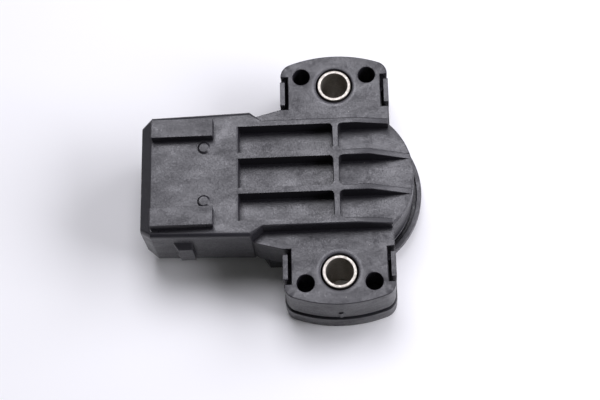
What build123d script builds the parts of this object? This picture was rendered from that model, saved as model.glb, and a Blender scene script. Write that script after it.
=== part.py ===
from build123d import *
import os

# Rotary throttle position sensor, millimetres.
# Origin: on the rotor's axis, in the plane of the mounting face.
# +Z points away from the throttle body, +X from the plug socket to the round end.

# Heights of the layers
BASE_HEIGHT = 5.25  # mounting face to the joint between base and housing
EAR_HEIGHT = 8.45  # joint to the top of the housing's ears
FRAME_HEIGHT = 3.4  # ribbed frame above the ears
RAIL_HEIGHT = 2.0  # guide rails above the frame

# Ears and their fixing
HOLE_PITCH = 38.0  # between the two fixing bushes
EAR_WIDTH = 20.8
EAR_END = 6.35  # bush axis to the round end of an ear
EAR_CORNER = 2.6
BUSH_BORE = 5.2
BUSH_WALL = 0.6
BUSH_SEAT_GAP = 0.02  # bush to the base, which carries it
BUSH_HOUSING_GAP = 0.35  # bush to the housing, all round
SINK_WIDTH = 0.95  # conical seat round the housing's bush hole
SINK_DEPTH = 0.12
PILOT_BORE = 3.3  # blind holes either side of a bush
PILOT_SPREAD = 12.74  # across X
PILOT_OFFSET = 2.07  # beyond the bush axis, across Y
PILOT_DEPTH = 7.5
GATE_WIDTH = 1.4  # stub of the moulding gate on one ear's end
GATE_RISE = 0.25
GATE_LOW = 0.5  # above the joint
GATE_HEIGHT = 2.4

# Round housing and the base's ring
DRUM_RADIUS = 14.65
DRUM_WALL = 2.2
RING_LIP = 1.65  # base ring beyond the drum
RING_THICK = 1.85
RING_GROOVE_WIDTH = 0.65  # shadow groove in the ring, next to the drum
RING_GROOVE_DEPTH = 1.3
BASE_DRUM_RADIUS = 13.6  # base below its ring
JOINT_GAP_HEIGHT = 0.8  # shadow groove between base and housing
JOINT_GAP_DEPTH = 0.5
BASE_LIP = 0.3  # base beyond the housing's ears

# Gussets between ears and connector
GUSSET_X = 15.4
GUSSET_Y = 13.0
HEEL_X = 15.0  # base under the gussets
HEEL_CORNER_X = 13.7
HEEL_CORNER_Y = 13.35
HEEL_SIDE_Y = 11.3

# Ribbed frame
FRAME_WIDTH = 21.4
FRAME_EDGE = 0.25  # round along the outer walls' top
FRAME_NECK_X = 16.3  # where the connector's width starts to narrow to the frame's
FRAME_SHOULDER_X = 14.0
POCKET_END_X = 18.4
WEB_THICK = 1.15
RIB_PITCH = 7.12
POCKET_CORNER = 0.6
POCKET_BRINK = 0.45  # round on the pockets' edge at the connector
WALL_SLOPE_X = 3.9
WALL_END_X = 10.2
WALL_END_HEIGHT = 2.1
RIB_SLOPE_X = 6.5
RIB_END_X = 13.9

# Connector shroud with its socket for a three-way plug
MOUTH_WIDTH = 24.4  # across the shroud behind its bevelled mouth
NECK_WIDTH = 25.4  # across the shroud where it meets the ears
SHROUD_HEIGHT = 13.0
SHROUD_END_X = 37.0
SHROUD_CORNER = 0.9
SHROUD_REAR_X = 15.4  # rear of the shroud below the joint
MOUTH_BEVEL_RUN = 2.0
MOUTH_BEVEL_SIDE = 1.5
MOUTH_BEVEL_TOP = 1.2
SOCKET_WIDTH = 20.4
SOCKET_HEIGHT = 9.7
SOCKET_CORNER = 1.2
SOCKET_LEAD = 0.3  # chamfer round the mouth's inner edge
SOCKET_BACK_X = 20.0
RAIL_START_X = 34.9
RAIL_END_X = 23.1
RAIL_WIDTH = 3.65
RAIL_SPREAD = 17.75  # between the rails' centre lines
PAD_X = 24.95  # ejector pads on the connector's top
PAD_SPREAD = 10.8
PAD_DIAMETER = 2.5
PAD_HEIGHT = 0.3
PAD_SLOPE = 0.4  # run of its conical side
LATCH_START_X = 31.2
LATCH_CREST_X = 30.2
LATCH_END_X = 27.5
LATCH_RISE = 1.3
LATCH_DROP = 4.4  # frame top to the latch nose's crest
LATCH_SLOPE = 1.3  # rise of its top from the crest to the wall
LATCH_HEIGHT = 5.9

# Snap arms of the base in the ears' notches
NOTCH_LENGTH = 6.83
NOTCH_DEPTH = 1.42
SNAP_OFFSET = 1.27  # bush axis to an arm's centre, across Y
ARM_LENGTH = 5.08
ARM_THICK = 0.95
ARM_LIP = 0.15  # arms beyond the housing's ears
ARM_SIDE_GAP = 0.15
ARM_BACK_GAP = 0.15
ARM_TOP_DROP = 0.15
HOOK_DROP = 6.0  # ear top to the ledge that the hook sits on
HOOK_REACH = 0.4
HOOK_HEIGHT = 1.3
HOOK_GAP = 0.05

# Terminals
TERMINAL_PITCH = 5.0
BLADE_WIDTH = 2.8
BLADE_THICK = 0.8
BLADE_TIP_X = 31.0
BLADE_BEVEL = 0.25
BLADE_SHOULDER = 0.5  # corners of the tip, in plan
TAIL_WIDTH = 1.8
TAIL_END_X = 10.4

# Resistor element
ELEMENT_THICK = 0.8
ELEMENT_GAP = 0.3  # to the cavity wall
TRACK_THICK = 0.04
TRACK_WIDTH = 1.6
TRACK_SPARE = 12.0  # degrees of track past each end of the wiper's sweep

# Rotor, its bearings and stops
TRAVEL = 95.0  # degrees, between the stops
STOP_SPARE = 1.0  # degrees left before a stop at each end
JOURNAL_RADIUS = 6.0
JOURNAL_GAP = 0.05
ROTOR_RECESS = 0.3  # rotor's end above the mounting face
DRIVE_RADIUS = 4.05
DRIVE_FLAT = 3.05  # axis to the flat of the drive bore
DRIVE_DEPTH = 7.5
DISC_RADIUS = 10.2
DISC_THICK = 1.4
PIVOT_RADIUS = 1.5
PIVOT_LENGTH = 2.2  # in the housing's bearing
PIVOT_END_GAP = 0.3
SHOULDER_RADIUS = 2.6
THRUST_GAP = 0.1
BOSS_RADIUS = 3.2
BOSS_DROP = 0.9  # bearing boss below the element
ELEMENT_BOSS_GAP = 0.2
WASHER_THICK = 0.4
WASHER_WIDTH = 1.8
LUG_WIDTH = 3.2
LUG_GAP = 0.6  # lug to the cavity wall
STOP_GAP = 0.5  # stop to the rotor's disc
STOP_THICK = 1.8

# Wiper
WIPER_RISE = 1.9  # rotor disc to the tracks
WIPER_THICK = 0.2
WIPER_FOOT = 1.8
INNER_FINGER_X = 5.6
OUTER_FINGER_X = 8.9
FINGER_WIDTH = 1.1
FINGER_RUN = 3.6
FINGER_TIP = 0.7
CONTACT_GAP = 0.03
PEG_RADIUS = 0.45
PEG_GAP = 0.05
PEG_HEIGHT = 0.5

# Seals
FACE_SEAL_SECTION = 1.5
FACE_SEAL_RADIUS = 10.6
FACE_SEAL_SIDE_GAP = 0.25
JOINT_SEAL_SECTION = 0.9
JOINT_SEAL_SIDE_GAP = 0.15

# Clearance between the shroud and the base's ring
RING_GAP = 0.15

# How far a cutting tool runs past the face that it opens
OVERRUN = 1.0

# Levels and radii that follow from the sizes above
SPLIT_Z = BASE_HEIGHT
LAND_Z = SPLIT_Z - JOINT_GAP_HEIGHT
EAR_TOP = SPLIT_Z + EAR_HEIGHT
FRAME_TOP = EAR_TOP + FRAME_HEIGHT
SHROUD_BOTTOM = FRAME_TOP - SHROUD_HEIGHT
TERMINAL_Z = FRAME_TOP - SHROUD_HEIGHT / 2
ELEMENT_Z = TERMINAL_Z + BLADE_THICK / 2
ROOF_Z = ELEMENT_Z + ELEMENT_THICK
DISC_TOP = ELEMENT_Z - TRACK_THICK - WIPER_RISE
DISC_BOTTOM = DISC_TOP - DISC_THICK
WASHER_Z = DISC_BOTTOM - THRUST_GAP - WASHER_THICK
BOSS_Z = ELEMENT_Z - BOSS_DROP
EAR_SIDE = EAR_WIDTH / 2
EAR_REACH = HOLE_PITCH / 2 + EAR_END
FRAME_SIDE = FRAME_WIDTH / 2
BUSH_RADIUS = BUSH_BORE / 2 + BUSH_WALL
PILOT_Y = HOLE_PITCH / 2 + PILOT_OFFSET
SNAP_Y = HOLE_PITCH / 2 - SNAP_OFFSET
ARM_FACE = EAR_SIDE + ARM_LIP
CAVITY_RADIUS = DRUM_RADIUS - DRUM_WALL
RING_RADIUS = DRUM_RADIUS + RING_LIP
JOINT_SEAL_RADIUS = CAVITY_RADIUS + (DRUM_WALL - JOINT_GAP_DEPTH) / 2
REST_ANGLE = -TRAVEL / 2
FINGERS_X = (INNER_FINGER_X, OUTER_FINGER_X)
PEG_Y = -(FINGER_RUN + WIPER_FOOT) / 2


def prism(plan, low, high):
    """A plan sketch raised between two levels."""
    return extrude(Pos(0, 0, low) * plan, high - low)


def block(x, y, z):
    """A box between two places along each axis."""
    size = [abs(b - a) for a, b in (x, y, z)]
    centre = [(a + b) / 2 for a, b in (x, y, z)]
    return Pos(*centre) * Box(*size)


def outline(points):
    """A face in plan from its corner points."""
    return make_face(Polyline(*points, close=True))


def both_sides(points):
    """Corner points at +Y, given from left to right, closed by their mirror images."""
    return points + [(x, -y) for x, y in reversed(points)]


def across_y(profile, y, width):
    """A profile in X and Z, made as wide as asked about a place along Y."""
    return Pos(0, y, 0) * extrude(Plane.XZ * profile, width / 2, both=True)


def ridge(points, y, width):
    """A wall of even width along X, from its side profile in X and Z."""
    return across_y(outline(points), y, width)


def washer(inner, outer, low, high):
    return prism(Circle(outer) - Circle(inner), low, high)


def ear_outline(inset=0.0):
    """Plan of both ears: a strip across the axis with ends round about the axis."""
    strip = Rectangle(EAR_WIDTH - 2 * inset, 3 * EAR_REACH)
    ears = strip & Circle(EAR_REACH - inset)
    return fillet(ears.vertices(), EAR_CORNER - inset)


def gate_stub():
    """What is left of the moulding gate on the lower ear's end."""
    plan = Pos(0, GATE_WIDTH / 2 - GATE_RISE - EAR_REACH) * Circle(GATE_WIDTH / 2)
    low = SPLIT_Z + GATE_LOW
    return prism(plan, low, low + GATE_HEIGHT)


def housing_flange():
    """Ears, round end and gussets, up to the ears' top."""
    ears = prism(ear_outline(), SPLIT_Z, EAR_TOP)
    drum = prism(Circle(DRUM_RADIUS), SPLIT_Z, EAR_TOP)
    gusset_points = [
        (-FRAME_NECK_X - OVERRUN, NECK_WIDTH / 2 - SHROUD_CORNER),
        (-GUSSET_X, GUSSET_Y),
        (-EAR_SIDE, SNAP_Y - NOTCH_LENGTH / 2),
    ]
    gussets = prism(outline(both_sides(gusset_points)), SPLIT_Z, EAR_TOP)
    return ears + drum + gussets + gate_stub()


def pocket_brink(y):
    """Cut that rounds a pocket's top edge at the connector, between two places along Y."""
    side = POCKET_BRINK
    waste = Pos(side / 2, side / 2) * Rectangle(side, side) - Circle(side)
    profile = Pos(-POCKET_END_X - side, FRAME_TOP - side) * waste
    return across_y(profile, (y[0] + y[1]) / 2, y[1] - y[0])


def frame_pockets():
    """Three pockets on the connector side of the frame, rounded at the cross web and the connector."""
    wall_inner = FRAME_SIDE - WEB_THICK
    rib_inner = (RIB_PITCH - WEB_THICK) / 2
    rib_outer = (RIB_PITCH + WEB_THICK) / 2
    cuts = []
    for y in ((-wall_inner, -rib_outer), (-rib_inner, rib_inner), (rib_outer, wall_inner)):
        cut = block((-POCKET_END_X, -WEB_THICK / 2), y, (EAR_TOP, FRAME_TOP + OVERRUN))
        corners = cut.edges().filter_by(Axis.Z).group_by(Axis.X)[-1]
        cuts.append(fillet(corners, POCKET_CORNER))
        cuts.append(pocket_brink(y))
    return cuts


def frame_wall(side):
    """Outer wall of the frame, sloping down at the round end, its outer top edge rounded."""
    profile = [
        (-FRAME_SHOULDER_X, EAR_TOP),
        (-FRAME_SHOULDER_X, FRAME_TOP),
        (WALL_SLOPE_X, FRAME_TOP),
        (WALL_END_X, EAR_TOP + WALL_END_HEIGHT),
        (WALL_END_X, EAR_TOP),
    ]
    wall = ridge(profile, side * (FRAME_SIDE - WEB_THICK / 2), WEB_THICK)
    outer = wall.faces().sort_by(Axis.Y)[-1 if side > 0 else 0]
    top_edges = outer.edges().sort_by(Axis.Z)[-2:]
    return fillet(top_edges, FRAME_EDGE)


def ribbed_frame():
    """Raised frame behind the connector, with four sloping ribs on the round side."""
    inner = FRAME_SIDE - WEB_THICK / 2
    frame = block((-FRAME_SHOULDER_X, WEB_THICK / 2), (-inner, inner), (EAR_TOP, FRAME_TOP))
    rib_profile = [(0, EAR_TOP), (0, FRAME_TOP), (RIB_SLOPE_X, FRAME_TOP), (RIB_END_X, EAR_TOP)]
    above_drum = prism(Circle(DRUM_RADIUS), EAR_TOP, FRAME_TOP)
    for side in (-1, 1):
        frame += frame_wall(side)
        frame += ridge(rib_profile, side * RIB_PITCH / 2, WEB_THICK) & above_drum
    web_corners = frame.edges().filter_by(Axis.Z).group_by(Axis.X)[1]
    return fillet(web_corners, POCKET_CORNER)


def shroud_section(x, width, height, corner=SHROUD_CORNER):
    """The shroud's rounded outline across X."""
    section = RectangleRounded(width, height, corner)
    return Plane((x, 0, TERMINAL_Z), x_dir=(0, 1, 0), z_dir=(1, 0, 0)) * section


def latch_nose(side):
    """Nose that a plug's spring wire snaps over, on the shroud's narrow side, sloping off at its top."""
    root = SOCKET_WIDTH / 2 + OVERRUN
    wall = MOUTH_WIDTH / 2
    crest = wall + LATCH_RISE
    crest_z = FRAME_TOP - LATCH_DROP
    points = [
        (-LATCH_START_X, root),
        (-LATCH_START_X, wall),
        (-LATCH_CREST_X, crest),
        (-LATCH_END_X, crest),
        (-LATCH_END_X, root),
    ]
    plan = outline([(x, side * y) for x, y in points])
    nose = prism(plan, crest_z - LATCH_HEIGHT, crest_z + LATCH_SLOPE)
    slope = Plane.YZ * outline([(crest, crest_z), (crest, crest_z + LATCH_SLOPE), (wall, crest_z + LATCH_SLOPE)])
    cut = extrude(slope, SHROUD_END_X, both=True)
    return nose - (cut if side > 0 else mirror(cut, Plane.XZ))


def connector():
    """Shroud with a bevelled mouth, guide rails, ejector pads and latch noses, still without its socket."""
    end_width = MOUTH_WIDTH - 2 * MOUTH_BEVEL_SIDE
    end_height = SHROUD_HEIGHT - 2 * MOUTH_BEVEL_TOP
    shroud = loft(
        [
            shroud_section(-SHROUD_END_X, end_width, end_height),
            shroud_section(-SHROUD_END_X + MOUTH_BEVEL_RUN, MOUTH_WIDTH, SHROUD_HEIGHT),
            shroud_section(-FRAME_NECK_X, NECK_WIDTH, SHROUD_HEIGHT),
            shroud_section(-FRAME_SHOULDER_X, FRAME_WIDTH, SHROUD_HEIGHT, FRAME_EDGE),
        ],
        ruled=True,
    )
    across = (-NECK_WIDTH, NECK_WIDTH)
    below_joint = block((-SHROUD_REAR_X, 0), across, (SHROUD_BOTTOM - OVERRUN, SPLIT_Z))
    ring_room = prism(Circle(RING_RADIUS + RING_GAP), SHROUD_BOTTOM - OVERRUN, SPLIT_Z)
    body = shroud - below_joint - ring_room
    for side in (-1, 1):
        rail_y = side * RAIL_SPREAD / 2
        body += block(
            (-RAIL_START_X, -RAIL_END_X),
            (rail_y - RAIL_WIDTH / 2, rail_y + RAIL_WIDTH / 2),
            (FRAME_TOP - SHROUD_CORNER, FRAME_TOP + RAIL_HEIGHT),
        )
        pad = Cone(PAD_DIAMETER / 2, PAD_DIAMETER / 2 - PAD_SLOPE, PAD_HEIGHT)
        body += Pos(-PAD_X, side * PAD_SPREAD / 2, FRAME_TOP + PAD_HEIGHT / 2) * pad
        body += latch_nose(side)
    return body


def socket():
    """Space that the plug enters, with a lead-in at its mouth."""
    section = RectangleRounded(SOCKET_WIDTH, SOCKET_HEIGHT, SOCKET_CORNER)
    back = Plane((-SOCKET_BACK_X, 0, TERMINAL_Z), x_dir=(0, 1, 0), z_dir=(-1, 0, 0))
    mouth = Plane((-SHROUD_END_X, 0, TERMINAL_Z), x_dir=(0, 1, 0), z_dir=(1, 0, 0))
    wide = RectangleRounded(
        SOCKET_WIDTH + 2 * SOCKET_LEAD, SOCKET_HEIGHT + 2 * SOCKET_LEAD, SOCKET_CORNER + SOCKET_LEAD
    )
    lead = loft([mouth * wide, mouth.offset(SOCKET_LEAD) * section], ruled=True)
    return extrude(back * section, SHROUD_END_X - SOCKET_BACK_X + OVERRUN) + lead


def snap_notch(side_x, side_y):
    """Channel for a snap arm: shallow up to the ledge, then a wider pocket for the hook."""
    y = side_y * SNAP_Y
    ledge = EAR_TOP - HOOK_DROP
    channel_half = ARM_LENGTH / 2 + ARM_SIDE_GAP
    channel_x = ARM_FACE - ARM_THICK - ARM_BACK_GAP
    outside = side_x * (EAR_SIDE + OVERRUN)
    channel = block(
        (side_x * channel_x, outside),
        (y - channel_half, y + channel_half),
        (SPLIT_Z - OVERRUN, ledge),
    )
    hook_room = block(
        (side_x * (EAR_SIDE - NOTCH_DEPTH), outside),
        (y - NOTCH_LENGTH / 2, y + NOTCH_LENGTH / 2),
        (ledge, EAR_TOP + OVERRUN),
    )
    return channel + hook_room


def bush_hole(side):
    """Hole through an ear, with a shallow conical seat for the bolt's washer."""
    radius = BUSH_RADIUS + BUSH_HOUSING_GAP
    hole = prism(Circle(radius), SPLIT_Z - OVERRUN, EAR_TOP + OVERRUN)
    sink = Pos(0, 0, EAR_TOP - SINK_DEPTH / 2) * Cone(radius, radius + SINK_WIDTH, SINK_DEPTH)
    return Pos(0, side * HOLE_PITCH / 2, 0) * (hole + sink)


def pilot_hole(side_x, side_y):
    plan = Pos(side_x * PILOT_SPREAD / 2, side_y * PILOT_Y) * Circle(PILOT_BORE / 2)
    return prism(plan, EAR_TOP - PILOT_DEPTH, EAR_TOP + OVERRUN)


def rotor_bearing():
    """Boss under the cavity's roof with a blind bore for the rotor's pivot."""
    boss = prism(Circle(BOSS_RADIUS), BOSS_Z, ROOF_Z + PIVOT_END_GAP)
    bore_top = BOSS_Z + PIVOT_LENGTH + PIVOT_END_GAP
    bore = prism(Circle(PIVOT_RADIUS + JOURNAL_GAP), BOSS_Z - OVERRUN, bore_top)
    return boss, bore


def degrees_of(half_width, radius):
    """Angle that a half width takes up at a radius."""
    return Vector(1, 0).get_angle(Vector(radius, half_width))


def rotor_stops():
    """Two ribs on the cavity wall that the rotor's lug meets just past each end of its travel."""
    half_lug = degrees_of(LUG_WIDTH / 2, DISC_RADIUS)
    face_angle = TRAVEL / 2 + half_lug + STOP_SPARE
    stops = []
    for side in (-1, 1):
        rib = block(
            (DISC_RADIUS + STOP_GAP, CAVITY_RADIUS + DRUM_WALL / 2),
            (0, side * STOP_THICK),
            (DISC_BOTTOM - THRUST_GAP, ELEMENT_Z - ELEMENT_GAP),
        )
        stops.append(Rot(0, 0, side * face_angle) * rib)
    return stops


def terminal(y):
    """One flat blade, narrower behind the socket, ending under the element."""
    half = BLADE_THICK / 2
    blade_points = [
        (-BLADE_TIP_X, y - BLADE_WIDTH / 2 + BLADE_SHOULDER),
        (-BLADE_TIP_X + BLADE_SHOULDER, y - BLADE_WIDTH / 2),
        (-SOCKET_BACK_X, y - BLADE_WIDTH / 2),
        (-SOCKET_BACK_X, y - TAIL_WIDTH / 2),
        (-TAIL_END_X, y - TAIL_WIDTH / 2),
        (-TAIL_END_X, y + TAIL_WIDTH / 2),
        (-SOCKET_BACK_X, y + TAIL_WIDTH / 2),
        (-SOCKET_BACK_X, y + BLADE_WIDTH / 2),
        (-BLADE_TIP_X + BLADE_SHOULDER, y + BLADE_WIDTH / 2),
        (-BLADE_TIP_X, y + BLADE_WIDTH / 2 - BLADE_SHOULDER),
    ]
    blade = prism(outline(blade_points), TERMINAL_Z - half, TERMINAL_Z + half)
    tip = blade.faces().sort_by(Axis.X)[0].edges().filter_by(Axis.Y)
    return chamfer(tip, BLADE_BEVEL)


def housing(terminals):
    """The one-piece moulding: flange, frame, connector and inner bearing."""
    body = housing_flange() + ribbed_frame() + connector()
    body -= prism(Circle(CAVITY_RADIUS), SPLIT_Z - OVERRUN, ROOF_Z)
    for cut in frame_pockets():
        body -= cut
    boss, bore = rotor_bearing()
    body = body + boss - bore - socket()
    for stop in rotor_stops():
        body += stop
    for side_y in (-1, 1):
        body -= bush_hole(side_y)
        for side_x in (-1, 1):
            body -= snap_notch(side_x, side_y)
            body -= pilot_hole(side_x, side_y)
    for pin in terminals:
        body -= pin
    return body


def snap_arm(side_x, side_y):
    """Arm that rises from the base's edge, with a hook over the housing's ledge."""
    inner = ARM_FACE - ARM_THICK
    ledge = EAR_TOP - HOOK_DROP + HOOK_GAP
    top = EAR_TOP - ARM_TOP_DROP
    points = [
        (ARM_FACE, 0),
        (ARM_FACE, top),
        (inner, top),
        (inner, ledge + HOOK_HEIGHT),
        (inner - HOOK_REACH, ledge),
        (inner, ledge),
        (inner, 0),
    ]
    return ridge([(side_x * x, z) for x, z in points], side_y * SNAP_Y, ARM_LENGTH)


def base_cover():
    """Lower moulding: feet under the ears, ring under the drum, snap arms and the rotor's bearing."""
    heel_points = [
        (-HEEL_X, HEEL_SIDE_Y),
        (-HEEL_CORNER_X, HEEL_CORNER_Y),
        (-EAR_SIDE, HEEL_CORNER_Y),
    ]
    foot_plan = ear_outline(-BASE_LIP) + Circle(BASE_DRUM_RADIUS) + outline(both_sides(heel_points))
    foot = prism(foot_plan, 0, LAND_Z)
    ring = prism(Circle(RING_RADIUS), LAND_Z - RING_THICK, LAND_Z)
    ring -= washer(DRUM_RADIUS, DRUM_RADIUS + RING_GROOVE_WIDTH, LAND_Z - RING_GROOVE_DEPTH, LAND_Z)
    land_plan = ear_outline(JOINT_GAP_DEPTH) + Circle(DRUM_RADIUS - JOINT_GAP_DEPTH)
    land = prism(land_plan, LAND_Z, SPLIT_Z)
    bearing = prism(Circle(JOURNAL_RADIUS + JOURNAL_GAP + WASHER_WIDTH), SPLIT_Z, WASHER_Z)
    body = foot + ring + land + bearing
    for side_y in (-1, 1):
        for side_x in (-1, 1):
            body += snap_arm(side_x, side_y)
        seat = Pos(0, side_y * HOLE_PITCH / 2) * Circle(BUSH_RADIUS + BUSH_SEAT_GAP)
        body -= prism(seat, -OVERRUN, SPLIT_Z + OVERRUN)
    body -= prism(Circle(JOURNAL_RADIUS + JOURNAL_GAP), -OVERRUN, WASHER_Z + OVERRUN)
    half = FACE_SEAL_SECTION / 2 + FACE_SEAL_SIDE_GAP
    body -= washer(FACE_SEAL_RADIUS - half, FACE_SEAL_RADIUS + half, -OVERRUN, FACE_SEAL_SECTION)
    half = JOINT_SEAL_SECTION / 2 + JOINT_SEAL_SIDE_GAP
    groove_floor = SPLIT_Z - JOINT_SEAL_SECTION
    body -= washer(JOINT_SEAL_RADIUS - half, JOINT_SEAL_RADIUS + half, groove_floor, SPLIT_Z + OVERRUN)
    return body


def joint_seal():
    """Square-cut rubber ring in the base's groove, under the housing's wall."""
    half = JOINT_SEAL_SECTION / 2
    return washer(JOINT_SEAL_RADIUS - half, JOINT_SEAL_RADIUS + half, SPLIT_Z - JOINT_SEAL_SECTION, SPLIT_Z)


def mounting_seal():
    """Square-cut rubber ring in the mounting face, at its fitted height."""
    half = FACE_SEAL_SECTION / 2
    return washer(FACE_SEAL_RADIUS - half, FACE_SEAL_RADIUS + half, 0, FACE_SEAL_SECTION)


def bush(side):
    """Steel tube that takes the bolt's load through both mouldings."""
    return Pos(0, side * HOLE_PITCH / 2, 0) * washer(BUSH_BORE / 2, BUSH_RADIUS, 0, EAR_TOP)


def arc_band(radius, width, sweep, low, high):
    """A band about the axis, centred on +X."""
    reach = 2 * radius
    half = sweep / 2
    sector = Rot(0, 0, -half) * make_face(
        Line((0, 0), (reach, 0)) + CenterArc((0, 0), reach, 0, sweep) + PolarLine((0, 0), reach, sweep)
    )
    ring = Circle(radius + width / 2) - Circle(radius - width / 2)
    return prism(ring & sector, low, high)


def resistor_element():
    """Ceramic plate under the cavity's roof with two printed tracks on its lower face."""
    plate = washer(BOSS_RADIUS + ELEMENT_BOSS_GAP, CAVITY_RADIUS - ELEMENT_GAP, ELEMENT_Z, ROOF_Z)
    sweep = TRAVEL + 2 * TRACK_SPARE
    for finger_x in FINGERS_X:
        contact = Vector(finger_x, FINGER_RUN / 2)
        track = arc_band(contact.length, TRACK_WIDTH, sweep, ELEMENT_Z - TRACK_THICK, ELEMENT_Z)
        plate += Rot(0, 0, degrees_of(contact.Y, contact.X)) * track
    return plate


def rotor():
    """Drive hub, disc and pivot in one moulding, with the stop lug and the wiper's pegs."""
    hub = prism(Circle(JOURNAL_RADIUS), ROTOR_RECESS, DISC_BOTTOM)
    disc = prism(Circle(DISC_RADIUS), DISC_BOTTOM, DISC_TOP)
    shoulder = prism(Circle(SHOULDER_RADIUS), DISC_TOP, BOSS_Z - THRUST_GAP)
    pivot = prism(Circle(PIVOT_RADIUS), DISC_TOP, BOSS_Z + PIVOT_LENGTH)
    lug = block(
        (0, CAVITY_RADIUS - LUG_GAP), (-LUG_WIDTH / 2, LUG_WIDTH / 2), (DISC_BOTTOM, DISC_TOP)
    )
    body = hub + disc + shoulder + pivot + lug
    for finger_x in FINGERS_X:
        body += prism(Pos(finger_x, PEG_Y) * Circle(PEG_RADIUS), DISC_TOP, DISC_TOP + PEG_HEIGHT)
    flat = Pos(DRIVE_FLAT + DRIVE_RADIUS, 0) * Rectangle(2 * DRIVE_RADIUS, 4 * DRIVE_RADIUS)
    drive = prism(Circle(DRIVE_RADIUS) - flat, -OVERRUN, ROTOR_RECESS + DRIVE_DEPTH)
    return Rot(0, 0, REST_ANGLE) * (body - drive)


def wiper():
    """Sprung contact strip on the rotor: one foot and two fingers that rise to the tracks."""
    contact = DISC_TOP + WIPER_RISE - CONTACT_GAP
    half_run = FINGER_RUN / 2
    body = block(
        (INNER_FINGER_X - FINGER_WIDTH / 2, OUTER_FINGER_X + FINGER_WIDTH / 2),
        (-half_run - WIPER_FOOT, -half_run),
        (DISC_TOP, DISC_TOP + WIPER_THICK),
    )
    lower = [
        (-half_run, DISC_TOP),
        (half_run, contact - WIPER_THICK),
        (half_run + FINGER_TIP, contact - WIPER_THICK - FINGER_TIP / 2),
    ]
    upper = [(y, z + WIPER_THICK) for y, z in reversed(lower)]
    finger_profile = Plane.YZ * make_face(Polyline(*lower, *upper, close=True))
    finger = extrude(finger_profile, FINGER_WIDTH / 2, both=True)
    for finger_x in FINGERS_X:
        peg_hole = Pos(finger_x, PEG_Y) * Circle(PEG_RADIUS + PEG_GAP)
        body += Pos(finger_x, 0, 0) * finger
        body -= prism(peg_hole, DISC_TOP - OVERRUN, DISC_TOP + OVERRUN)
    return Rot(0, 0, REST_ANGLE) * body


def thrust_washer():
    """Steel washer between the base's bearing and the rotor's disc."""
    inner = JOURNAL_RADIUS + JOURNAL_GAP
    return washer(inner, inner + WASHER_WIDTH, WASHER_Z, WASHER_Z + WASHER_THICK)


terminals = [terminal(y) for y in (-TERMINAL_PITCH, 0, TERMINAL_PITCH)]
pieces = {
    "housing": housing(terminals),
    "base_cover": base_cover(),
    "joint_seal": joint_seal(),
    "mounting_seal": mounting_seal(),
    "upper_bush": bush(1),
    "lower_bush": bush(-1),
    "ground_terminal": terminals[0],
    "signal_terminal": terminals[1],
    "supply_terminal": terminals[2],
    "resistor_element": resistor_element(),
    "rotor": rotor(),
    "wiper": wiper(),
    "thrust_washer": thrust_washer(),
}

os.makedirs("parts", exist_ok=True)
for name, piece in pieces.items():
    export_step(piece, f"parts/{name}.step")
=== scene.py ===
import bmesh
import bpy
import math
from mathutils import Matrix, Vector


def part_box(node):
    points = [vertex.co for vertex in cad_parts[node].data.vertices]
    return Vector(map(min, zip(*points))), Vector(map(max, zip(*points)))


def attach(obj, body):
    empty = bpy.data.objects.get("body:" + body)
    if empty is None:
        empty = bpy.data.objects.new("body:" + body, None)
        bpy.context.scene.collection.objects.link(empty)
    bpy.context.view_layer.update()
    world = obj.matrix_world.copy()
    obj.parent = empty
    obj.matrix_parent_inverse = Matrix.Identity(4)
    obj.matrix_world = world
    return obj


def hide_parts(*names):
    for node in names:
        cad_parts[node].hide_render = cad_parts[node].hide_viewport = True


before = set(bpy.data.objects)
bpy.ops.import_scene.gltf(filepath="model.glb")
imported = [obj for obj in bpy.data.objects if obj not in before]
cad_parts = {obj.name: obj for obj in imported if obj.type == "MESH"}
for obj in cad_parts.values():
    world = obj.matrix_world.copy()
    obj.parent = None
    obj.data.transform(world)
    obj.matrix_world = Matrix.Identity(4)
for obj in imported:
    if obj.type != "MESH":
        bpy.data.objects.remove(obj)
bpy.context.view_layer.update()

# Base cover
# The lower moulding: feet under the ears, a ring round the drum and four snap arms, in black PBT with
# glass fibre. It is injection moulded, so its outer edges are a little round and its skin is grained.
MM = 0.001
MOULD_EDGE = 0.16 * MM
EDGE_STEPS = 3
MERGE = 0.0001 * MM
SHARP = math.radians(33)
PBT_DARK = "#1b1a1f"
PBT_LIGHT = "#26252b"
# The grey of rubbed skin, also the colour of the painted highlights on the housing
PBT_RUBBED_AND_LIT = "#4a494d"
PBT_DULLEST = 0.55
PBT_GLOSSIEST = 0.25
RUBBING_POLISH = 0.2
CLOUD_SIZE = 2.6 * MM
CLOUD_STRETCH = (0.45, 1.0, 1.0)
CLOUD_TURN = math.radians(-60)
GRAIN_SIZE = 0.24 * MM
GRAIN_DEPTH = 0.02 * MM
DIRT_SIZE = 2.1 * MM
DIRT_SEED = 5.0
DIRT_DULLING = 0.11
DUST_COLOUR = "#a8a49c"
DUST_SPACING = 1.7 * MM
RAIL_HEIGHT = 2.0 * MM
FRAME_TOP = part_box("housing")[1][2] - RAIL_HEIGHT
CLEAN_ABOVE = FRAME_TOP - 1.1 * MM
DIRTY_BELOW = FRAME_TOP - 3.1 * MM


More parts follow.
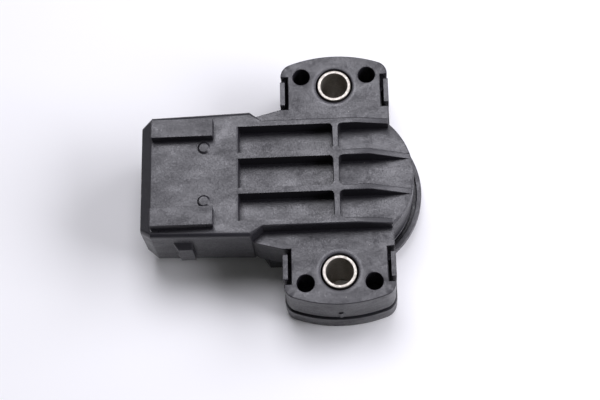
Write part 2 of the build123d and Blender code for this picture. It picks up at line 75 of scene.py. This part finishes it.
def soft_edged(node, name, width):
    """A merged copy of a node with its long outer edges rounded, shown in the node's place."""
    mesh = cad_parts[node].data.copy()
    mesh.materials.clear()
    shape = bmesh.new()
    shape.from_mesh(mesh)
    bmesh.ops.remove_doubles(shape, verts=shape.verts, dist=MERGE)
    # An edge shorter than the rounding's width is left, because the rounding would fold over it
    outer = [
        edge
        for edge in shape.edges
        if edge.is_convex and edge.calc_face_angle() > SHARP and edge.calc_length() > width
    ]
    corners = list(dict.fromkeys(corner for edge in outer for corner in edge.verts))
    bmesh.ops.bevel(
        shape,
        geom=outer + corners,
        affect="EDGES",
        offset=width,
        offset_type="OFFSET",
        segments=EDGE_STEPS,
        profile=0.5,
        material=-1,
        loop_slide=True,
    )
    for edge in shape.edges:
        edge.smooth = edge.calc_face_angle(0.0) < SHARP
    for face in shape.faces:
        face.smooth = True
    shape.to_mesh(mesh)
    shape.free()
    piece = bpy.data.objects.new(name, mesh)
    bpy.context.scene.collection.objects.link(piece)
    piece.modifiers.new("flat faces stay flat", "WEIGHTED_NORMAL").keep_sharp = True
    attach(piece, "body")
    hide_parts(node)
    return piece


def linear(hex_colour):
    """An sRGB hex colour as the linear values that a shader takes."""
    parts = [int(hex_colour[i : i + 2], 16) / 255 for i in (1, 3, 5)]
    return tuple(c / 12.92 if c <= 0.04045 else ((c + 0.055) / 1.055) ** 2.4 for c in parts) + (1.0,)


def add(tree, kind, inputs=None, **settings):
    """Adds a node: its settings, and its inputs by name or number, each a value or a socket to link."""
    node = tree.nodes.new(kind)
    for key, value in settings.items():
        setattr(node, key, value)
    for key, value in (inputs or {}).items():
        if isinstance(value, bpy.types.NodeSocket):
            tree.links.new(value, node.inputs[key])
        else:
            node.inputs[key].default_value = value
    return node


# The numbers of a Mix node's sockets for colours, since those for vectors have the same names
SHARE, FIRST, SECOND = 0, 6, 7
MIXED = 2


def new_material(name):
    """A material with an empty node tree, and the place on the piece that its patterns read."""
    material = bpy.data.materials.new(name)
    material.use_nodes = True
    tree = material.node_tree
    tree.nodes.clear()
    return material, tree, add(tree, "ShaderNodeTexCoord").outputs["Object"]


def close_material(tree, **inputs):
    """Ends a node tree with one surface shader."""
    named = {key.replace("_", " "): value for key, value in inputs.items()}
    shader = add(tree, "ShaderNodeBsdfPrincipled", named).outputs[0]
    add(tree, "ShaderNodeOutputMaterial", {"Surface": shader})


def moulded_pbt(name, seed, worn_and_lit=None):
    """Black PBT from a spark-eroded mould: satin and grained, clouded by the melt's flow, a little dusty."""
    material, tree, place = new_material(name)
    # Clouds drawn out along the part, as the melt ran, and turned to hide the grid of the noise
    flow = add(
        tree,
        "ShaderNodeMapping",
        {"Vector": place, "Rotation": (0.0, 0.0, CLOUD_TURN), "Scale": CLOUD_STRETCH},
    ).outputs[0]
    cloud = add(
        tree,
        "ShaderNodeTexNoise",
        {"Vector": flow, "W": seed, "Scale": 1 / CLOUD_SIZE, "Detail": 5.0, "Roughness": 0.62},
        noise_dimensions="4D",
    ).outputs["Fac"]
    # The real grain is about 0.05 mm, and is drawn coarser so that it shows in the render
    grain = add(
        tree,
        "ShaderNodeTexNoise",
        {"Vector": place, "W": seed, "Scale": 1 / GRAIN_SIZE, "Detail": 2.0, "Roughness": 0.6},
        noise_dimensions="4D",
    ).outputs["Fac"]
    colour = add(
        tree,
        "ShaderNodeMix",
        {SHARE: cloud, FIRST: linear(PBT_DARK), SECOND: linear(PBT_LIGHT)},
        data_type="RGBA",
    ).outputs[MIXED]
    # A film of oil and dirt dulls the gloss unevenly. Clouds and grain add up to about 1.
    mottle = add(tree, "ShaderNodeMath", {0: cloud, 1: grain}, operation="ADD").outputs[0]
    rough = add(
        tree,
        "ShaderNodeMapRange",
        {
            "Value": mottle,
            "From Min": 0.7,
            "From Max": 1.3,
            "To Min": PBT_DULLEST,
            "To Max": PBT_GLOSSIEST,
        },
    ).outputs[0]
    # Rubbing polishes the skin and turns it grey. Where the mask holds a painted highlight, the same grey
    # paints it.
    if worn_and_lit:
        bright = worn_and_lit(tree, place)
        colour = add(
            tree,
            "ShaderNodeMix",
            {SHARE: bright, FIRST: colour, SECOND: linear(PBT_RUBBED_AND_LIT)},
            data_type="RGBA",
        ).outputs[MIXED]
        rough = add(
            tree,
            "ShaderNodeMath",
            {0: bright, 1: -RUBBING_POLISH, 2: rough},
            operation="MULTIPLY_ADD",
        ).outputs[0]
    # Dirt lies in patches on what is below the frame's top, which hands rub clean
    smudge = add(
        tree,
        "ShaderNodeTexNoise",
        {
            "Vector": place,
            "W": seed + DIRT_SEED,
            "Scale": 1 / DIRT_SIZE,
            "Detail": 6.0,
            "Roughness": 0.7,
        },
        noise_dimensions="4D",
    ).outputs["Fac"]
    patch = add(
        tree, "ShaderNodeMapRange", {"Value": smudge, "From Min": 0.52, "From Max": 0.66}
    ).outputs[0]
    height = add(tree, "ShaderNodeSeparateXYZ", {"Vector": place}).outputs["Z"]
    lying = add(
        tree,
        "ShaderNodeMapRange",
        {"Value": height, "From Min": CLEAN_ABOVE, "From Max": DIRTY_BELOW},
    ).outputs[0]
    dirt = add(tree, "ShaderNodeMath", {0: patch, 1: lying}, operation="MULTIPLY").outputs[0]
    rough = add(
        tree, "ShaderNodeMath", {0: dirt, 1: DIRT_DULLING, 2: rough}, operation="MULTIPLY_ADD"
    ).outputs[0]
    # Dust: a few pale specks, 0.2 mm across or less
    speck = add(
        tree,
        "ShaderNodeTexVoronoi",
        {"Vector": place, "W": seed, "Scale": 1 / DUST_SPACING},
        voronoi_dimensions="4D",
    ).outputs["Distance"]
    dust = add(
        tree,
        "ShaderNodeMapRange",
        {"Value": speck, "From Min": 0.07, "From Max": 0.04, "To Min": 0.0, "To Max": 0.5},
    ).outputs[0]
    colour = add(
        tree,
        "ShaderNodeMix",
        {SHARE: dust, FIRST: colour, SECOND: linear(DUST_COLOUR)},
        data_type="RGBA",
    ).outputs[MIXED]
    bump = add(
        tree, "ShaderNodeBump", {"Strength": 0.4, "Distance": GRAIN_DEPTH, "Height": grain}
    ).outputs[0]
    close_material(tree, Base_Color=colour, Roughness=rough, IOR=1.57, Normal=bump)
    return material


base = soft_edged("base_cover", "base_cover_moulding", MOULD_EDGE)
base.data.materials.append(moulded_pbt("black_pbt_base", seed=2.0))

# Mounting seal
# A square-cut ring of black nitrile rubber, pressed into the groove of the mounting face.
# Cutting leaves it matt and finely ridged, and talc from packing greys it a little.
RUBBER_BLACK = "#151515"
RUBBER_TALC = "#2c2b2a"
TALC_SIZE = 0.8 * MM
RIDGE_DEPTH = 0.02 * MM


def nitrile_rubber(name):
    """Matt black rubber with pale talc in its pores."""
    material, tree, place = new_material(name)
    talc = add(
        tree,
        "ShaderNodeTexNoise",
        {"Vector": place, "Scale": 1 / TALC_SIZE, "Detail": 6.0, "Roughness": 0.7},
    ).outputs["Fac"]
    colour = add(
        tree,
        "ShaderNodeMix",
        {SHARE: talc, FIRST: linear(RUBBER_BLACK), SECOND: linear(RUBBER_TALC)},
        data_type="RGBA",
    ).outputs[MIXED]
    bump = add(
        tree, "ShaderNodeBump", {"Strength": 0.3, "Distance": RIDGE_DEPTH, "Height": talc}
    ).outputs[0]
    close_material(tree, Base_Color=colour, Roughness=0.72, IOR=1.52, Normal=bump)
    return material


def dress(node, material):
    """Gives a node's own mesh a material."""
    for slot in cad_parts[node].material_slots:
        slot.material = material


rubber = nitrile_rubber("black_nitrile_rubber")
dress("mounting_seal", rubber)

# Steel bushes
# Two tubes of zinc-plated steel, turned and parted off on a lathe, then pressed into the base.
# They take the bolts' load. The plating is pale grey with small dull stains.
BUSH_EDGE = 0.1 * MM


def bare_metal(name, dark, light, stain, roughest, smoothest):
    """Metal with dull stains of a given size over a brighter ground."""
    material, tree, place = new_material(name)
    cloud = add(
        tree,
        "ShaderNodeTexNoise",
        {"Vector": place, "Scale": 1 / stain, "Detail": 5.0, "Roughness": 0.6},
    ).outputs["Fac"]
    colour = add(
        tree,
        "ShaderNodeMix",
        {SHARE: cloud, FIRST: linear(dark), SECOND: linear(light)},
        data_type="RGBA",
    ).outputs[MIXED]
    rough = add(
        tree,
        "ShaderNodeMapRange",
        {"Value": cloud, "From Min": 0.3, "From Max": 0.7, "To Min": roughest, "To Max": smoothest},
    ).outputs[0]
    close_material(tree, Base_Color=colour, Metallic=1.0, Roughness=rough)
    return material


zinc = bare_metal(
    "zinc_plated_steel", dark="#98958c", light="#cdc7bf", stain=0.5 * MM, roughest=0.6, smoothest=0.42
)
for node in ("upper_bush", "lower_bush"):
    bush = soft_edged(node, node + "_tube", BUSH_EDGE)
    bush.data.materials.append(zinc)

# Thrust washer
# A thin washer stamped from plain steel strip, loose between the base's bearing and the rotor's disc.
# Rolling and tumbling leave it grey and even.
steel = bare_metal(
    "tumbled_steel", dark="#7d7d7b", light="#94938f", stain=0.7 * MM, roughest=0.46, smoothest=0.38
)
dress("thrust_washer", steel)

# Rotor
# The drive hub, disc and pivot in one moulding of natural acetal, which slides well and stays undyed.
# It is cream, waxy and slightly see-through, so light softens in it.
ACETAL_DARK = "#c4baa4"
ACETAL_LIGHT = "#d6cdb8"
ACETAL_CLOUD = 3.0 * MM
ACETAL_GLOW = (0.5 * MM, 0.4 * MM, 0.3 * MM)
acetal, tree, place = new_material("natural_acetal")
cloud = add(
    tree,
    "ShaderNodeTexNoise",
    {"Vector": place, "Scale": 1 / ACETAL_CLOUD, "Detail": 4.0, "Roughness": 0.55},
).outputs["Fac"]
cream = add(
    tree,
    "ShaderNodeMix",
    {SHARE: cloud, FIRST: linear(ACETAL_DARK), SECOND: linear(ACETAL_LIGHT)},
    data_type="RGBA",
).outputs[MIXED]
close_material(
    tree,
    Base_Color=cream,
    Roughness=0.42,
    IOR=1.48,
    Subsurface_Weight=0.2,
    Subsurface_Radius=ACETAL_GLOW,
    Subsurface_Scale=1.0,
)
dress("rotor", acetal)

# Wiper
# A contact strip stamped and bent from phosphor bronze, staked on to two pegs of the rotor.
# It is bright, with the faint brown of handling.
bronze = bare_metal(
    "phosphor_bronze", dark="#a8763f", light="#c4925a", stain=0.6 * MM, roughest=0.38, smoothest=0.26
)
dress("wiper", bronze)

# Joint seal
# A smaller ring of the same nitrile rubber, cut square, in the base's groove under the housing's wall.
# Snapping the housing on to the base presses it.
dress("joint_seal", rubber)

# Resistor element
# A plate of white alumina with two tracks of carbon ink printed and fired on its lower face.
# The tracks stand a little below the plate, so their height tells ink from ceramic.
ALUMINA_DARK = "#d8d4c8"
ALUMINA_LIGHT = "#e8e5dc"
CARBON_INK = "#1a1a1b"
PORE_SIZE = 0.4 * MM
TRACK_HEIGHT = 0.04 * MM
track_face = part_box("resistor_element")[0][2]
alumina, tree, place = new_material("alumina_with_carbon_ink")
pores = add(
    tree,
    "ShaderNodeTexNoise",
    {"Vector": place, "Scale": 1 / PORE_SIZE, "Detail": 4.0, "Roughness": 0.6},
).outputs["Fac"]
ceramic = add(
    tree,
    "ShaderNodeMix",
    {SHARE: pores, FIRST: linear(ALUMINA_DARK), SECOND: linear(ALUMINA_LIGHT)},
    data_type="RGBA",
).outputs[MIXED]
height = add(tree, "ShaderNodeSeparateXYZ", {"Vector": place}).outputs["Z"]
ink = add(
    tree, "ShaderNodeMath", {0: height, 1: track_face + TRACK_HEIGHT / 2}, operation="LESS_THAN"
).outputs[0]
colour = add(
    tree,
    "ShaderNodeMix",
    {SHARE: ink, FIRST: ceramic, SECOND: linear(CARBON_INK)},
    data_type="RGBA",
).outputs[MIXED]
close_material(tree, Base_Color=colour, Roughness=0.6, IOR=1.76)
dress("resistor_element", alumina)

# Terminals
# Three flat blades stamped from brass strip and tinned, moulded into the housing behind the socket.
# The tin is dull silver with greyer stains.
tin = bare_metal(
    "tinned_brass", dark="#a5a29b", light="#c6c3bb", stain=0.9 * MM, roughest=0.44, smoothest=0.3
)
for node in ("ground_terminal", "signal_terminal", "supply_terminal"):
    dress(node, tin)

# Housing
# The upper moulding of the same PBT: ears, round end, ribbed frame and plug shroud in one piece, snapped
# on to the base's arms. Its seats round the bushes are lighter, partly from washers rubbing and partly a
# painted highlight, and a painted highlight streaks the shroud.
# The seats' lighter rings are partly rubbing wear and partly a painted highlight
SEAT_INNER = 3.5 * MM
SEAT_OUTER = 4.5 * MM
SEAT_FADE = 0.35 * MM
# The seats' painted brightness is stronger towards the part's middle than away from it
SEAT_INSIDE_GAIN = 1.8
SEAT_OUTSIDE_GAIN = 0.2
WEAR_AND_HIGHLIGHT_PATCH = 1.1 * MM
# A painted highlight streak on the shroud: its middle, reach and turn
SHROUD_HIGHLIGHT = (-22.0 * MM, 7.2 * MM, FRAME_TOP)
SHROUD_HIGHLIGHT_REACH = (4.6 * MM, 1.2 * MM, 4.0 * MM)
SHROUD_HIGHLIGHT_TURN = math.radians(60)


def seats_and_highlights(tree, place):
    """Where the housing is painted brighter: worn seats with a painted highlight round both bushes, and a
    painted highlight streak on the shroud.
    """
    low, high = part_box("upper_bush")
    parts = add(tree, "ShaderNodeSeparateXYZ", {"Vector": place}).outputs
    folded = add(tree, "ShaderNodeMath", {0: parts["Y"]}, operation="ABSOLUTE").outputs[0]
    across = add(
        tree, "ShaderNodeMath", {0: folded, 1: (low[1] + high[1]) / 2}, operation="SUBTRACT"
    ).outputs[0]
    radial = add(tree, "ShaderNodeCombineXYZ", {"X": parts["X"], "Y": across}).outputs[0]
    radius = add(tree, "ShaderNodeVectorMath", {0: radial}, operation="LENGTH").outputs["Value"]
    inside = add(
        tree,
        "ShaderNodeMapRange",
        {"Value": radius, "From Min": SEAT_OUTER, "From Max": SEAT_OUTER - SEAT_FADE},
    ).outputs[0]
    beyond = add(
        tree,
        "ShaderNodeMapRange",
        {"Value": radius, "From Min": SEAT_INNER, "From Max": SEAT_INNER + SEAT_FADE},
    ).outputs[0]
    seat = add(tree, "ShaderNodeMath", {0: inside, 1: beyond}, operation="MULTIPLY").outputs[0]
    # The seats are painted brighter on the side towards the part's middle
    toward_middle = add(
        tree,
        "ShaderNodeMapRange",
        {
            "Value": across,
            "From Min": -SEAT_OUTER,
            "From Max": SEAT_OUTER,
            "To Min": SEAT_INSIDE_GAIN,
            "To Max": SEAT_OUTSIDE_GAIN,
        },
    ).outputs[0]
    seat = add(tree, "ShaderNodeMath", {0: seat, 1: toward_middle}, operation="MULTIPLY").outputs[0]
    # The painted highlight streak on the shroud, fading out from its middle
    local = add(
        tree,
        "ShaderNodeMapping",
        {
            "Vector": place,
            "Location": SHROUD_HIGHLIGHT,
            "Rotation": (0.0, 0.0, SHROUD_HIGHLIGHT_TURN),
            "Scale": SHROUD_HIGHLIGHT_REACH,
        },
        vector_type="TEXTURE",
    ).outputs[0]
    shroud_highlight = add(
        tree, "ShaderNodeTexGradient", {"Vector": local}, gradient_type="SPHERICAL"
    ).outputs["Fac"]
    # Patches break up both the wear and the painted highlights
    patches = add(
        tree,
        "ShaderNodeTexNoise",
        {"Vector": place, "Scale": 1 / WEAR_AND_HIGHLIGHT_PATCH, "Detail": 4.0, "Roughness": 0.6},
    ).outputs["Fac"]
    both = add(tree, "ShaderNodeMath", {0: seat, 1: shroud_highlight}, operation="MAXIMUM").outputs[0]
    return add(tree, "ShaderNodeMath", {0: both, 1: patches}, operation="MULTIPLY").outputs[0]


housing = soft_edged("housing", "housing_moulding", MOULD_EDGE)
# The seats and the shroud get the rubbed grey, partly as painted highlights
housing.data.materials.append(moulded_pbt("black_pbt_housing", seed=11.3, worn_and_lit=seats_and_highlights))

# Table, light and camera
# A white table under a large softbox above and behind, which all the tops mirror. Two more on the right
# and a weak one on the left pick out the slopes. The camera stands where the photograph was taken from.
TABLE_HALF_WIDTH = 3.0
PAPER_WHITE = "#f7f7f7"
ROOM_LIGHT = 0.08
SOFTBOX_TINT = (0.93, 0.92, 1.0)
LENS = 84.0
SENSOR_WIDTH = 36.0
NEAREST = 10 * MM
CAMERA_PLACE = (4.12 * MM, -98.68 * MM, 260.73 * MM)
CAMERA_TURN = (math.radians(20.781), math.radians(3.02), math.radians(-1.127))
table_mesh = bpy.data.meshes.new("table")
sheet = bmesh.new()
bmesh.ops.create_grid(sheet, x_segments=1, y_segments=1, size=TABLE_HALF_WIDTH)
sheet.to_mesh(table_mesh)
sheet.free()
table = bpy.data.objects.new("table", table_mesh)
bpy.context.scene.collection.objects.link(table)
paper, tree = new_material("white_paper")[:2]
close_material(tree, Base_Color=linear(PAPER_WHITE), Roughness=0.9, Specular_IOR_Level=0.2)
table_mesh.materials.append(paper)

world = bpy.data.worlds.new("studio")
bpy.context.scene.world = world
world.use_nodes = True
room = world.node_tree.nodes["Background"].inputs
room["Color"].default_value = (1.0, 1.0, 1.0, 1.0)
room["Strength"].default_value = ROOM_LIGHT

# Each softbox has its place and width in metres and its power in watts, and faces the part
for name, spot, width, power in (
    ("overhead_softbox", Vector((-0.01, 0.225, 0.55)), 0.36, 2.25),
    ("back_right_softbox", Vector((0.42, 0.2, 0.36)), 0.3, 1.2),
    ("right_softbox", Vector((0.48, -0.08, 0.31)), 0.36, 2.4),
    ("left_softbox", Vector((-0.5, 0.2, 0.27)), 0.4, 0.22),
):
    light = bpy.data.lights.new(name, "AREA")
    light.shape = "DISK"
    light.size = width
    light.energy = power
    light.color = SOFTBOX_TINT
    softbox = bpy.data.objects.new(name, light)
    bpy.context.scene.collection.objects.link(softbox)
    softbox.location = spot
    softbox.rotation_euler = spot.to_track_quat("Z", "Y").to_euler()

camera = bpy.data.cameras.new("camera")
camera.lens = LENS
camera.sensor_width = SENSOR_WIDTH
camera.clip_start = NEAREST
camera_object = bpy.data.objects.new("camera", camera)
bpy.context.scene.collection.objects.link(camera_object)
camera_object.location = CAMERA_PLACE
camera_object.rotation_euler = CAMERA_TURN
bpy.context.scene.camera = camera_object
bpy.context.scene.view_settings.view_transform = "Standard"
